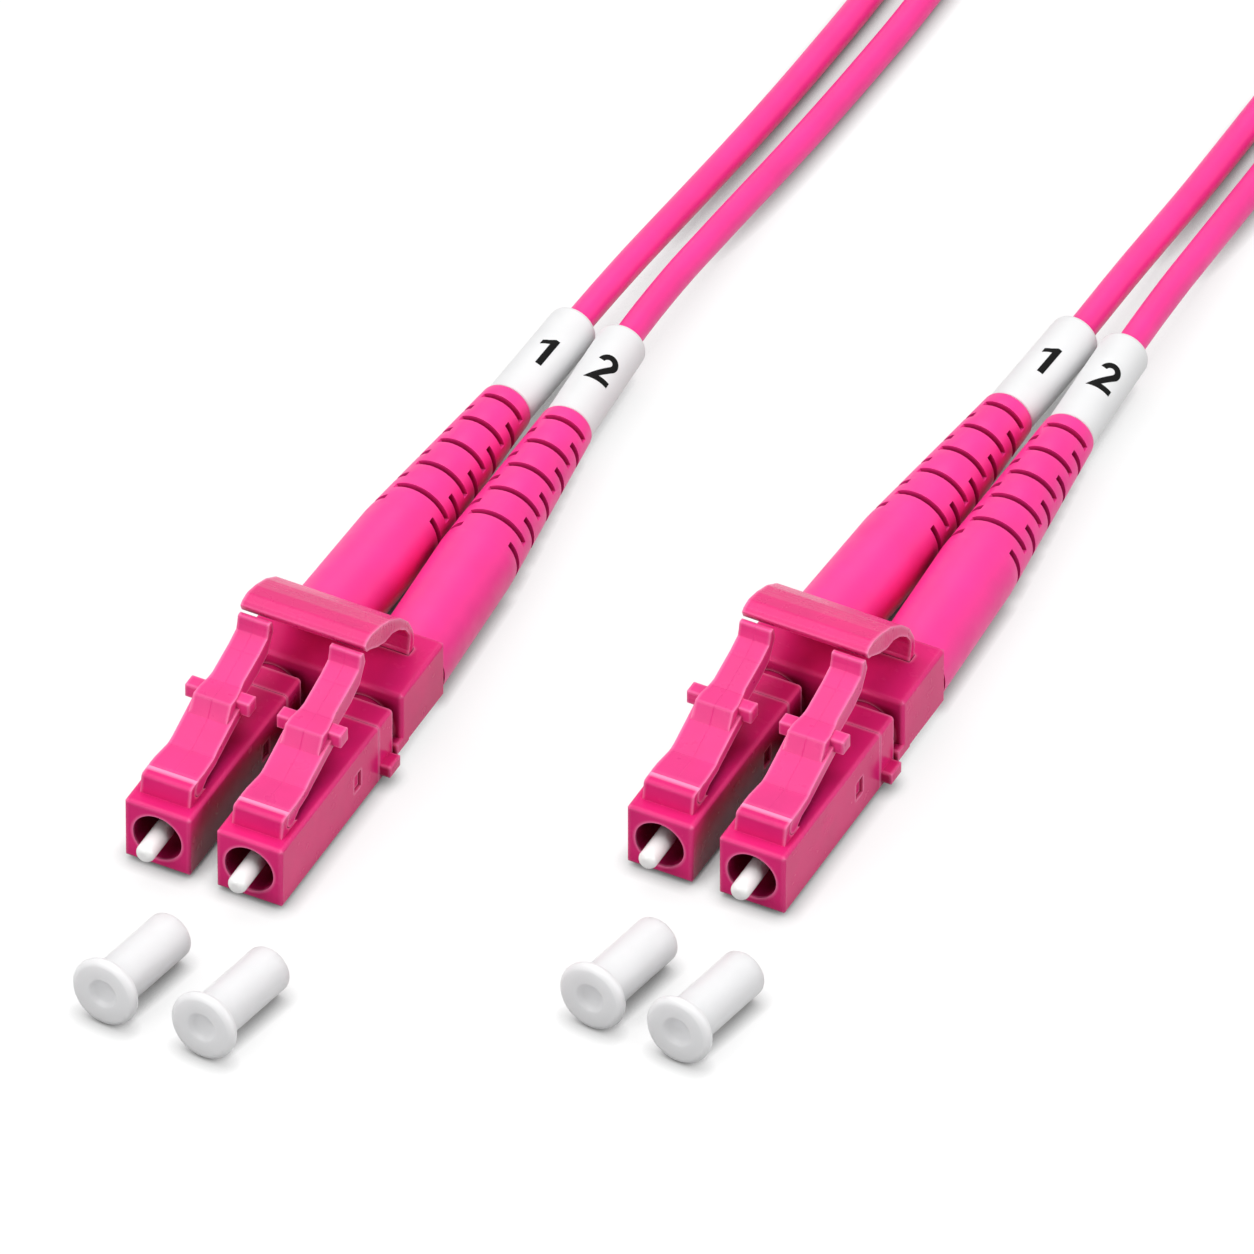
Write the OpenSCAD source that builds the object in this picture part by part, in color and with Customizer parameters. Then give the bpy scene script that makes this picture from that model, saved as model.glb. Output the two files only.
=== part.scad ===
// Duplex LC to LC fibre optic patch cord, both ends side by side, dust caps taken off.
// +X runs across the plugs, +Y along them from nose to cord, +Z up. The floor is z = 0.
// Each plug is drawn in its own frame: the origin is the centre of its nose's front face.

/* [Layout] */
// Distance between the two plugs of one end, axis to axis
pitch = 6.25; // [6.15:0.05:6.6]
// How far end B lies to the right of end A
ends_apart_x = 27.35; // [24:0.05:40]
// How far end B lies behind end A
ends_apart_y = 13.25; // [5:0.05:20]
// Angle at which each boot leans towards its neighbour
toe_in = 2.55; // [0:0.05:2.6]

/* [Plug nose] */
// Width and height of the square nose
nose_w = 4.5; // [4.4:0.05:4.6]
// Length of the nose, from its front face to the seam
nose_l = 12.8; // [12.4:0.1:13.4]
// Radius of the nose's outer edges
nose_edge = 0.25; // [0.1:0.05:0.4]
// Radius of the bore round the ferrule
bore_r = 1.65; // [1.6:0.01:1.7]
// Depth of the bore round the ferrule
bore_depth = 2.9; // [2.7:0.1:3.2]
// Wall between the bore and the spring chamber
seat_wall = 0.7; // [0.5:0.1:0.9]
// Radius of the spring chamber
chamber_r = 1.5; // [1.45:0.01:1.55]
// Length of the snap windows in the nose's sides
window_l = 0.9; // [0.7:0.1:1.1]
// Height of the snap windows
window_h = 1.3; // [1.1:0.1:1.5]

/* [Latch] */
// Width of the latch arm at its root
latch_w = 3.4; // [3.2:0.05:3.5]
// Width of the latch arm's lower part
latch_arm_w = 3.1; // [2.9:0.05:3.2]
// Width of the raised block on the latch arm
latch_block_w = 2.6; // [2.3:0.05:2.8]
// Width of the latch arm's tail
latch_tail_w = 2.15; // [1.8:0.05:2.25]
// Width over the two ears that lock the plug
ear_span = 4.4; // [3.8:0.1:4.6]
// Radius of the round knuckle that the arm turns on
knuckle_r = 0.62; // [0.55:0.01:0.65]
// How far the root block reaches above the nose
root_h = 1.3; // [1.28:0.01:1.34]

/* [Ferrule] */
// Diameter of the ferrule
ferrule_d = 1.249; // [1.248:0.001:1.25]
// Length of the ferrule
ferrule_l = 6.5; // [6.3:0.1:6.8]
// Radius of the ferrule's stepped rear end, pressed into the flange
ferrule_seat_r = 0.45; // [0.4:0.01:0.46]
// How far the ferrule stands out of the nose
ferrule_reach = 1.9; // [1.7:0.1:2.1]
// How far the ferrule can be pushed in
ferrule_travel = 0.8; // [0.5:0.1:1]
// Diameter of the flange's disc
flange_d = 2.8; // [2.6:0.05:2.85]
// Thickness of the flange's disc
flange_t = 1; // [0.8:0.1:1.2]
// Diameter of the spring's wire
wire_d = 0.28; // [0.2:0.01:0.32]
// Outer diameter of the spring
spring_d = 2.3; // [2.2:0.01:2.36]
// Number of turns of the spring
spring_turns = 7; // [5:1:8]

/* [Rear body] */
// Width of the square insert that snaps into the nose
insert_w = 3.2; // [3.1:0.05:3.3]
// Length of the insert
insert_l = 3.6; // [3.4:0.1:3.8]
// Length of the square collar behind the seam
collar_l = 1.8; // [1.6:0.1:2.2]
// Diameter of the round neck that the clip holds
neck_d = 3.8; // [3.6:0.05:4]
// How far the side lugs stand out of the collar
lug_out = 0.7; // [0.4:0.05:0.75]
// Diameter of the crimp post
post_d = 2.1; // [2:0.05:2.2]
// Wall of the crimp sleeve
crimp_wall = 0.3; // [0.2:0.05:0.35]

/* [Duplex clip] */
// Width of the clip
clip_w = 11.35; // [11.2:0.05:11.8]
// Length of the clip along the plugs
clip_l = 5.7; // [5.2:0.1:6.2]
// Height of the clip
clip_h = 4.25; // [4:0.05:4.3]
// How far the clip's top lies above the plugs' axes
clip_top = 2.85; // [2.7:0.05:3]
// Gap between the rear body's collar and the clip
clip_gap = 0.7; // [0.5:0.05:0.9]
// Width of the trigger
trigger_w = 8.5; // [8:0.1:9]
// How far the trigger's lip lies in front of its hinge
trigger_reach = 6.05; // [6:0.05:6.2]
// How far the trigger's lip lies above its hinge
trigger_rise = 5.15; // [5.05:0.05:5.3]

/* [Boot and sleeve] */
// Diameter of the boot's smooth front part
boot_d = 5.05; // [4.9:0.05:5.2]
// Diameter of the boot's rear end
boot_end_d = 3.4; // [3.3:0.05:3.6]
// Length of the boot
boot_l = 23.9; // [23.5:0.1:25]
// Length of the boot's smooth front part
boot_smooth_l = 10; // [9.8:0.1:10.4]
// Distance from the smooth part to the first slot above
slot_start = 2; // [1.9:0.1:2.4]
// Distance from one slot of a row to the next
slot_pitch = 2.58; // [2.4:0.01:2.64]
// Width of each slot
slot_w = 0.45; // [0.3:0.05:0.6]
// Number of slots in each row
slot_count = 5; // [3:1:5]
// Diameter of the numbered sleeve
sleeve_d = 3.2; // [3:0.05:3.3]
// Length of the numbered sleeve
sleeve_l = 8.5; // [8:0.1:9]

/* [Dust cap] */
// Diameter of the cap's tube
cap_tube_d = 3.13; // [3:0.01:3.2]
// Diameter of the cap's flange
cap_flange_d = 4.55; // [4.3:0.05:4.8]
// Thickness of the cap's flange
cap_flange_t = 0.8; // [0.6:0.05:1]
// Length of the cap
cap_l = 7.5; // [7:0.1:8]
// Radius of the cap's bore
cap_bore_r = 0.635; // [0.63:0.001:0.65]
// Depth of the cap's bore
cap_bore_depth = 6; // [5:0.1:6.4]

/* [Cord] */
// Diameter of the round cord
cord_d = 1.8; // [1.6:0.1:2]
// Mean radius of the coil
coil_r = 10.5; // [10:0.1:12]
// Number of turns that lie side by side in the coil
coil_columns = 6; // [6:1:7]
// Number of layers in the coil
coil_rows = 4; // [4:2:4]
// Thickness of the strap that ties the coil
tie_t = 0.4; // [0.3:0.1:0.6]
// Width of the strap
tie_w = 6; // [4:0.5:8]

/* [Hidden] */
LEGS = ["a1", "a2", "b1", "b2"];
ENDS = ["a", "b"];
function each_of(name, list) = [for (item = list) str(name, "_", item)];

$fn = 64;
eps = 0.01;

magenta = [0.80, 0.12, 0.38];
pink = [0.95, 0.22, 0.52];
milky = [0.95, 0.95, 0.95];
zirconia = [0.97, 0.97, 0.95];
nickel = [0.72, 0.70, 0.66];
steel = [0.60, 0.61, 0.63];
buffer_white = [0.90, 0.92, 0.88];
strap_grey = [0.20, 0.20, 0.22];

// Clearances
fit_gap = 0.03;    // between pieces that snap or push together
hinge_gap = 0.04;  // round a hinge knuckle
slide_gap = 0.05;  // round the sliding flange

// Places along a plug, from the front face of its nose, and heights from its axis
nose_top = nose_w / 2;
chamber_y = bore_depth + seat_wall;
insert_y = nose_l - insert_l;
collar_y = nose_l + fit_gap;
neck_y = nose_l + collar_l;
clip_y = neck_y + clip_gap;
clip_end = clip_y + clip_l;
post_y = clip_end - 2.2;
post_l = 4.5;
crimp_y = post_y + 0.1;
jacket_y = post_y + post_l + 0.4;
crimp_end = jacket_y + 3;
cord_y = jacket_y + 1.8;
boot_y = clip_end + fit_gap;
axis_z = boot_d / 2;
latch_hinge = [2.4, nose_top + root_h - knuckle_r + 0.04];
trigger_hinge = [clip_end - 1.75, clip_top + 0.05];
trigger_pin_r = 0.36;
lip = trigger_hinge + [-trigger_reach, trigger_rise];
tail = lip + [-0.05, -0.5];

// Half widths and radii inside the plug
flange_nose_r = 1;
flange_tail_r = 0.75;
flange_tail_l = 2.4;
fibre_r = 0.45;
fibre_hole_r = 0.55;
spring_seat_y = insert_y + 2;
window_y = insert_y + 0.35;
window_z = 0.1;
crimp_r = post_d / 2 + 0.1;

// The cap lies on its flange and on the end of its tube
cap_edge = 0.15;
cap_flange_edge = cap_flange_t / 2;
cap_drop = (cap_flange_d / 2 - cap_flange_edge) - (cap_tube_d / 2 - cap_edge);
cap_run = cap_l - cap_edge - cap_flange_edge;
cap_tilt = atan(cap_drop / cap_run)
    + asin((cap_flange_edge - cap_edge) / norm([cap_drop, cap_run]));
cap_axis_z = (cap_flange_d / 2 - cap_flange_edge) * cos(cap_tilt) + cap_flange_edge;
cap_yaw = 6;
// Centres of the caps' flanges, from the middle of their own end's front
cap_places = [[0.35, -13.45], [7.05, -13.45], [-0.65, -13.7], [5.4, -14.05]];

// The whole object without its free cord is centred on the origin
side_edge = (pitch + nose_w) / 2 + lug_out;
cap_half = cap_flange_d / 2 + 0.1;
x_middle = (ends_apart_x + cap_places[3].x + cap_half - side_edge) / 2;
sleeve_end_y = boot_y + (boot_l + sleeve_l) * cos(toe_in);
y_middle = (ends_apart_y + sleeve_end_y + cap_places[0].y - cap_flange_edge - 0.1) / 2;
end_places = [
    [-x_middle, -y_middle],
    [ends_apart_x - x_middle, ends_apart_y - y_middle]
];
// Angle at which both boots of an end sway to the right
end_sway = [-0.6, 0.1];

function side(leg) = leg % 2 == 0 ? -1 : 1;
function end_place(leg) = end_places[floor(leg / 2)];
function lean(leg) = end_sway[floor(leg / 2)] - side(leg) * toe_in;

// ---- Outlines -------------------------------------------------------------

function unit(v) = v / norm(v);

// The arc of radius r that rounds the corner b between a and c
function corner_arc(a, b, c, r, steps) =
    let (
        u = unit(a - b),
        w = unit(c - b),
        half = acos(u * w) / 2,
        centre = b + unit(u + w) * r / sin(half),
        start = b + u * r / tan(half) - centre,
        turn = sign(cross(b - a, c - b)) * (180 - 2 * half)
    )
    [
        for (i = [0:steps])
            let (t = turn * i / steps)
            centre + [
                start.x * cos(t) - start.y * sin(t),
                start.x * sin(t) + start.y * cos(t)
            ]
    ];

// A closed outline of [x, y, corner radius] points with its corners rounded
function rounded(points, steps = 4) =
    let (n = len(points), flat = [for (p = points) [p.x, p.y]])
    [
        for (i = [0:n - 1])
            let (a = flat[(i + n - 1) % n], b = flat[i], c = flat[(i + 1) % n], r = points[i].z)
            each r == 0 || abs(cross(b - a, c - b)) < 1e-6 ? [b] : corner_arc(a, b, c, r, steps)
    ];

function rectangle(lo, hi, r) = [
    [lo.x, lo.y, r], [hi.x, lo.y, r], [hi.x, hi.y, r], [lo.x, hi.y, r]
];

// An outline in (y, z), drawn w wide across X
module across(w) {
    rotate([90, 0, 90]) linear_extrude(w, center = true) children();
}

// An outline in (x, z), drawn from y0 to y1
module along(y0, y1) {
    translate([0, y1, 0]) rotate([90, 0, 0]) linear_extrude(y1 - y0) children();
}

// A cylinder along Y from y0 to y1
module rod(r, y0, y1) {
    translate([0, y0, 0]) rotate([-90, 0, 0]) cylinder(r = r, h = y1 - y0);
}

// A cylinder across X about (y, z)
module cross_rod(r, place, w) {
    translate([0, place.x, place.y]) rotate([0, 90, 0]) cylinder(r = r, h = w, center = true);
}

// A turned shape about Y, from an outline in (radius, y)
module turned(outline, angle = 360) {
    rotate([-90, 0, 0]) rotate_extrude(angle = angle) polygon(outline);
}

// A box with all its edges rounded
module soft_box(lo, hi, r) {
    intersection() {
        translate([0, 0, lo.z]) linear_extrude(hi.z - lo.z)
            polygon(rounded(rectangle([lo.x, lo.y], [hi.x, hi.y], r)));
        along(lo.y, hi.y) polygon(rounded(rectangle([lo.x, lo.z], [hi.x, hi.z], r)));
        translate([(lo.x + hi.x) / 2, 0, 0]) across(hi.x - lo.x)
            polygon(rounded(rectangle([lo.y, lo.z], [hi.y, hi.z], r)));
    }
}

// ---- Tubes ----------------------------------------------------------------

// Ring i of a tube along path, square to the path, with one corner towards up
function ring(path, i, r, sides, up) =
    let (
        ahead = path[min(i + 1, len(path) - 1)] - path[max(i - 1, 0)],
        sideways = unit(cross(ahead, up)),
        upwards = unit(cross(sideways, ahead))
    )
    [
        for (k = [0:sides - 1])
            let (t = 360 * k / sides)
            path[i] + r * (cos(t) * upwards + sin(t) * sideways)
    ];

module tube_along(path, r, sides, up) {
    last = (len(path) - 1) * sides;
    walls = [
        for (i = [0:len(path) - 2], k = [0:sides - 1])
            let (a = i * sides + k, b = i * sides + (k + 1) % sides)
            each [[a, a + sides, b], [b, a + sides, b + sides]]
    ];
    near_end = [for (k = [0:sides - 1]) k];
    far_end = [for (k = [sides - 1:-1:0]) last + k];
    polyhedron(
        [for (i = [0:len(path) - 1]) each ring(path, i, r, sides, up)],
        concat(walls, [near_end, far_end])
    );
}

// ---- Plug -----------------------------------------------------------------

module nose_block() {
    intersection() {
        soft_box([-nose_top, 0, -nose_top], [nose_top, nose_l + 1, nose_top], nose_edge);
        translate([-nose_top, 0, -nose_top]) cube([nose_w, nose_l, nose_w]);
    }
}

module latch_root() {
    foot = nose_top - 0.2;
    across(latch_w) polygon(rounded([
        [1, foot, 0],
        [1.25, nose_top + root_h, 0.25],
        [latch_hinge.x, nose_top + root_h + 0.04, 0],
        [latch_hinge.x, latch_hinge.y - 0.25, 0],
        [latch_hinge.x + 0.7, nose_top, 0],
        [latch_hinge.x + 0.7, foot, 0]
    ]));
}

module plug_housing() {
    pocket = insert_w / 2 + fit_gap;
    color(magenta) difference() {
        union() {
            nose_block();
            latch_root();
        }
        rod(bore_r, -eps, bore_depth);
        rod(flange_nose_r + slide_gap, bore_depth - eps, chamber_y + eps);
        rod(chamber_r, chamber_y, insert_y + eps);
        along(insert_y, nose_l + eps)
            polygon(rounded(rectangle([-pocket, -pocket], [pocket, pocket], 0.4)));
        translate([-nose_w / 2 - eps, window_y, window_z - window_h / 2])
            cube([nose_w + 2 * eps, window_l, window_h]);
        cross_rod(knuckle_r + hinge_gap, latch_hinge, latch_w + 2 * eps);
    }
}

// Height of the arm's top at its hinge
latch_top = nose_top + root_h + 0.04;

// Side view of the arm's lower part: flat behind the root, then rising to the ears
function latch_arm_side() = [
    [latch_hinge.x, latch_top, 0],
    [4.5, latch_top - 0.08, 0.8],
    [6.7, latch_top + 0.76, 0],
    [8.2, latch_top + 1.35, 0.3],
    [9, latch_top + 1.35, 0],
    [9, latch_top + 0.8, 0],
    [6.8, latch_top + 0.02, 0.8],
    [4.8, latch_top - 0.74, 0.6],
    [3.4, latch_top - 0.76, 0.2],
    [latch_hinge.x + 0.5, latch_hinge.y - 0.36, 0],
    [latch_hinge.x, latch_hinge.y, 0]
];

// Side view of the raised block, the thick rear part and its curled tail
function latch_tail_side() = [
    [6.68, latch_top + 0.7, 0],
    [7.32, latch_top + 1.86, 0.1],
    [8.95, latch_top + 1.9, 0.6],
    [tail.x - 1.6, tail.y - 1.34, 0.8],
    [tail.x - 0.6, tail.y - 0.93, 0.1],
    [tail.x - 0.47, tail.y - 0.5, 0.3],
    [tail.x - 0.38, tail.y, 0.12],
    [tail.x, tail.y, 0.12],
    [tail.x + 0.2, tail.y - 0.85, 0.15],
    [tail.x - 0.55, tail.y - 2.12, 0.5],
    [tail.x - 1.7, tail.y - 2.7, 0.6],
    [8.9, latch_top + 0.6, 0.5],
    [7.2, latch_top + 0.2, 0]
];

// Cuts children to twice the outline of [y, half width] points, seen from above
module seen_from_above(edge) {
    n = len(edge);
    intersection() {
        children();
        linear_extrude(3 * nose_w) polygon(concat(
            [for (i = [0:n - 1]) [edge[i].y, edge[i].x]],
            [for (i = [n - 1:-1:0]) [-edge[i].y, edge[i].x]]
        ));
    }
}

module latch() {
    ear_lo = [7.9, latch_top + 0.76];
    ear_hi = [8.9, latch_top + 1.75];
    color(magenta) union() {
        seen_from_above([
            [latch_hinge.x - 1, latch_w / 2],
            [latch_hinge.x + 0.6, latch_w / 2],
            [5, latch_arm_w / 2],
            [9.5, latch_arm_w / 2]
        ]) union() {
            across(latch_w) polygon(rounded(latch_arm_side()));
            cross_rod(knuckle_r, latch_hinge, latch_w);
        }
        seen_from_above([
            [6, latch_block_w / 2],
            [8, latch_block_w / 2],
            [9.4, latch_tail_w / 2],
            [tail.x + 1, latch_tail_w / 2]
        ]) across(latch_block_w) polygon(rounded(latch_tail_side()));
        soft_box([-ear_span / 2, ear_lo.x, ear_lo.y], [ear_span / 2, ear_hi.x, ear_hi.y], 0.1);
    }
}

module ferrule() {
    r = ferrule_d / 2;
    tip = -ferrule_reach;
    dome = 0.45;
    color(zirconia) turned(concat(
        [[0, tip]],
        [for (t = [0:15:90]) [r - dome + dome * sin(t), tip + dome * (1 - cos(t))]],
        [
            [r, bore_depth],
            [ferrule_seat_r, bore_depth],
            [ferrule_seat_r, tip + ferrule_l],
            [0, tip + ferrule_l]
        ]
    ));
}

module ferrule_flange() {
    bottom = ferrule_l - ferrule_reach;
    color(nickel) difference() {
        union() {
            rod(flange_nose_r, bore_depth, chamber_y + eps);
            rod(flange_d / 2, chamber_y, chamber_y + flange_t);
            rod(flange_tail_r, chamber_y + flange_t - eps, chamber_y + flange_t + flange_tail_l);
        }
        rod(ferrule_seat_r, bore_depth - eps, bottom);
        rod(fibre_hole_r, bottom - eps, chamber_y + flange_t + flange_tail_l + eps);
        // Four keyways round the disc
        for (a = [0:90:270]) rotate([0, a, 0])
            translate([-0.2, chamber_y - eps, flange_d / 2 - 0.2]) cube([0.4, flange_t + 2 * eps, 1]);
    }
}

module spring() {
    steps = 12;
    r = (spring_d - wire_d) / 2;
    y0 = chamber_y + flange_t + wire_d / 2;
    rise = spring_seat_y - wire_d / 2 - y0;
    n = spring_turns * steps;
    color(steel) tube_along(
        [for (i = [0:n]) [r * cos(360 * i / steps), y0 + rise * i / n, r * sin(360 * i / steps)]],
        wire_d / 2, 6, [0, 1, 0]
    );
}

module rear_body() {
    half = insert_w / 2;
    color(magenta) difference() {
        union() {
            along(insert_y, collar_y + eps) polygon(rounded(rectangle([-half, -half], [half, half], 0.35)));
            along(collar_y, neck_y)
                polygon(rounded(rectangle([-nose_top, -nose_top], [nose_top, nose_top], nose_edge)));
            rod(neck_d / 2, neck_y - eps, post_y);
            rod(post_d / 2, post_y - eps, post_y + post_l);
            // Ridges that bite into the yarn under the crimp
            for (i = [1:3]) rod(post_d / 2 + 0.06, post_y + i * 1.2, post_y + i * 1.2 + 0.4);
            snap_teeth();
            side_lugs();
        }
        rod(spring_d / 2 + 0.1, insert_y - eps, spring_seat_y);
        rod(fibre_hole_r, spring_seat_y - eps, post_y + post_l + eps);
    }
}

// Teeth that show in the nose's windows, flush below its sides
module snap_teeth() {
    reach = nose_top - 0.2;
    translate([-reach, window_y + fit_gap, window_z - window_h / 2 + fit_gap])
        cube([2 * reach, window_l - 2 * fit_gap, window_h - 2 * fit_gap]);
}

module side_lugs() {
    reach = nose_top + lug_out;
    soft_box([-reach, collar_y + 0.1, -1.75], [reach, neck_y - 0.25, -0.9], 0.12);
}

module crimp_sleeve() {
    jacket_r = cord_d / 2 + 0.02;
    color(nickel) turned([
        [crimp_r, crimp_y],
        [crimp_r + crimp_wall, crimp_y],
        [crimp_r + crimp_wall, jacket_y - 0.3],
        [jacket_r + crimp_wall, jacket_y],
        [jacket_r + crimp_wall, crimp_end],
        [jacket_r, crimp_end],
        [jacket_r, jacket_y],
        [crimp_r, jacket_y - 0.3]
    ]);
}

module fibre() {
    start = ferrule_l - ferrule_reach + ferrule_travel + 0.1;
    color(buffer_white) rod(fibre_r, start, cord_y);
}

// Places a piece along the leaning axis of leg's boot, with y = 0 at the clip
module at_boot(leg) {
    at_leg(leg) translate([0, boot_y, 0]) rotate([0, 0, -lean(leg)]) children();
}

// A row of slots cut into the boot's wall, centred on direction a round its axis
module slot_row(first, a, arc) {
    core_r = 1.3;
    for (i = [0:slot_count - 1]) translate([0, first + i * slot_pitch, 0]) rotate([0, a + arc / 2, 0])
        turned([[core_r, 0], [boot_d, 0], [boot_d, slot_w], [core_r, slot_w]], arc);
}

module boot(leg) {
    front = 0.5;
    r = boot_d / 2;
    end_r = boot_end_d / 2;
    wide_r = crimp_r + crimp_wall + 0.3;
    color(pink) at_boot(leg) difference() {
        turned(rounded([
            [0, -front, 0],
            [r, -front, 0],
            [r, boot_smooth_l, 4],
            [end_r, boot_l, 0.25],
            [0, boot_l, 0]
        ]));
        rod(wide_r, -front - eps, boot_smooth_l - 0.6);
        rod(cord_d / 2 + 0.12, -front, boot_l + eps);
        // The front is cut flush with the clip
        rotate([0, 0, lean(leg)]) translate([-boot_d, -boot_d, -boot_d])
            cube([2 * boot_d, boot_d, 2 * boot_d]);
        // Slots above and below, and between them the slots on both sides
        for (a = [0, 180]) {
            slot_row(boot_smooth_l + slot_start, a, 110);
            slot_row(boot_smooth_l + slot_start - slot_pitch / 2, a + 90, 100);
        }
    }
}

module number_sleeve(leg) {
    start = boot_l + fit_gap;
    r = sleeve_d / 2;
    bore = cord_d / 2 + 0.1;
    color(milky) at_boot(leg) turned(rounded([
        [bore, start, 0],
        [r, start, 0.12],
        [r, start + sleeve_l, 0.45],
        [bore, start + sleeve_l, 0.1]
    ], 6));
}

// The cap stands along +Y from its flange, then lies down where it was put
module dust_cap(leg) {
    r = cap_flange_d / 2;
    tube_r = cap_tube_d / 2;
    dimple_r = 0.9;
    color(milky)
        translate([end_place(leg).x + cap_places[leg].x, end_place(leg).y + cap_places[leg].y, cap_axis_z])
        rotate([0, 0, -cap_yaw]) rotate([-cap_tilt, 0, 0]) translate([0, -cap_flange_edge, 0])
        difference() {
            turned(rounded([
                [0, 0, 0],
                [r, 0, cap_flange_edge - 0.001],
                [r, cap_flange_t, cap_flange_edge - 0.001],
                [tube_r, cap_flange_t, 0.1],
                [tube_r, cap_l, cap_edge],
                [0, cap_l, 0]
            ], 6));
            rod(cap_bore_r, cap_l - cap_bore_depth, cap_l + eps);
            // Shallow round dimple with a soft edge
            turned([[0, -eps], [dimple_r + 0.15, -eps], [dimple_r, 0.12], [dimple_r - 0.25, 0.3], [0, 0.36]]);
        }
}

// ---- Duplex clip ----------------------------------------------------------

module duplex_clip() {
    half = clip_w / 2;
    floor_z = clip_top - clip_h;
    foot_top = -0.55;
    foot_half = nose_top + 0.3;
    color(magenta) difference() {
        union() {
            soft_box([-half, clip_y, floor_z], [half, clip_end, clip_top], 0.3);
            // Feet that reach forward to the collars
            for (s = [-1, 1]) translate([s * pitch / 2, 0, 0])
                soft_box([-foot_half, neck_y + fit_gap, floor_z], [foot_half, clip_y + 1, foot_top], 0.12);
        }
        // Round seat of the trigger, sunk in the top
        cross_rod(trigger_pin_r + hinge_gap, trigger_hinge, trigger_w + 2 * hinge_gap);
        for (s = [-1, 1]) translate([s * pitch / 2, 0, 0]) {
            rod(neck_d / 2 + fit_gap, neck_y, clip_end + eps);
            // Mouth through which the plug snaps in from below
            translate([-neck_d * 0.45, neck_y, floor_z - eps])
                cube([neck_d * 0.9, clip_l + 1, eps - floor_z]);
        }
    }
}

// The arched plate's side view, from its hinge, with the thick lip in front
function trigger_side() = [
    for (p = [
        [0.12, 0.5, 0],
        [0.42, 0.7, 0.1],
        [0.3, 1.45, 0.6],
        [-0.32, 2.63, 1.2],
        [-1.33, 3.69, 1.5],
        [-2.67, 4.58, 1.5],
        [-4.02, 5.13, 1.2],
        [-5.15, 5.4, 0.8],
        [0.25 - trigger_reach, trigger_rise + 0.12, 0.1],
        [-trigger_reach, trigger_rise - 0.1, 0.12],
        [0.2 - trigger_reach, trigger_rise - 0.6, 0.15],
        [0.6 - trigger_reach, trigger_rise - 0.74, 0.15],
        [-4.35, 3.78, 0.6],
        [-3.34, 3.4, 0.6],
        [-2.45, 3.36, 0.6],
        [-1.6, 2.98, 0.6],
        [-0.68, 2.23, 0.8],
        [-0.16, 1.44, 0.6],
        [-0.06, 0.7, 0]
    ]) [trigger_hinge.x + p.x, trigger_hinge.y + p.y, p.z]
];

module trigger() {
    pin = trigger_hinge;
    color(magenta) union() {
        across(trigger_w) polygon(rounded(trigger_side()));
        across(trigger_w) polygon([
            [pin.x - 0.3, pin.y],
            [pin.x + 0.3, pin.y],
            [pin.x + 0.42, pin.y + 0.72],
            [pin.x + 0.3, pin.y + 1.1],
            [pin.x - 0.12, pin.y + 1.1]
        ]);
        cross_rod(trigger_pin_r, pin, trigger_w);
    }
}

// ---- Cord -----------------------------------------------------------------

coil_place = [13.5, 124];
coil_half = coil_columns * cord_d / 2;
coil_top = tie_t + coil_rows * cord_d;

// Free stretches from each numbered sleeve to the coil, from the middle of end A's front
route_1_a = [
    [-1.78, 60, 2.36], [-1.6, 65, 2], [-1.42, 70, 1.6], [-1.25, 75, 1.25], [-1.08, 80, 1.02],
    [-0.92, 85, 0.93], [-0.79, 90, 0.91], [-0.8, 95, 0.92], [-0.86, 100, 0.96], [-0.98, 105, 1.04],
    [-1.14, 110, 1.14], [-1.32, 115, 1.24], [-1.46, 120, 1.3]
];
route_2_a = [
    [1.3, 60, 2.36], [1.42, 65, 2], [1.58, 70, 1.6], [1.78, 75, 1.25], [1.98, 80, 1.02],
    [2.18, 85, 0.93], [2.34, 90, 0.91], [2.36, 95, 1], [2.15, 100, 1.3], [1.55, 105, 1.98],
    [0.65, 110, 3], [-0.4, 115, 4.35], [-1.3, 120, 4.9]
];
route_1_b = [
    [25.8, 73, 2.36], [25.75, 78, 1.9], [25.68, 83, 1.4], [25.6, 88, 1.05], [25.65, 93, 0.98],
    [25.93, 98, 1.15], [26.5, 103, 1.53], [27.15, 108, 2.05], [27.78, 113, 2.58], [28.25, 118, 2.98],
    [28.48, 122, 3.1]
];
route_2_b = [
    [28.9, 73, 2.36], [28.75, 78, 1.9], [28.6, 83, 1.4], [28.5, 88, 1.05], [28.46, 93, 1.15],
    [28.46, 98, 1.9], [28.47, 103, 3.2], [28.48, 108, 4.7], [28.49, 113, 5.9], [28.5, 118, 6.55],
    [28.5, 122, 6.7]
];

// The cord's centre on the boot's leaning axis, y along it from the clip
function on_boot(leg, y) = [
    end_place(leg).x + side(leg) * pitch / 2 + y * sin(lean(leg)),
    end_place(leg).y + boot_y + y * cos(lean(leg)),
    axis_z
];
function on_plug(leg, y) = [end_place(leg).x + side(leg) * pitch / 2, end_place(leg).y + y, axis_z];

module cord(leg, route) {
    path = concat(
        [on_plug(leg, cord_y), on_plug(leg, crimp_end)],
        [for (y = [boot_smooth_l + 0.5, boot_l * 0.7, boot_l, boot_l + sleeve_l]) on_boot(leg, y)],
        [for (p = route) p - [x_middle, y_middle, 0]]
    );
    color(pink) tube_along(path, cord_d / 2, 8, [0, 0, 1]);
}

module coil_section(grow) {
    polygon(rounded(rectangle(
        [coil_r - coil_half - grow, tie_t - grow],
        [coil_r + coil_half + grow, coil_top + grow],
        cord_d / 2 + grow
    )));
}

module at_coil() {
    translate([coil_place.x - x_middle, coil_place.y - y_middle, 0]) children();
}

module cord_coil() {
    color(pink) at_coil() rotate_extrude() coil_section(0);
}

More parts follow.
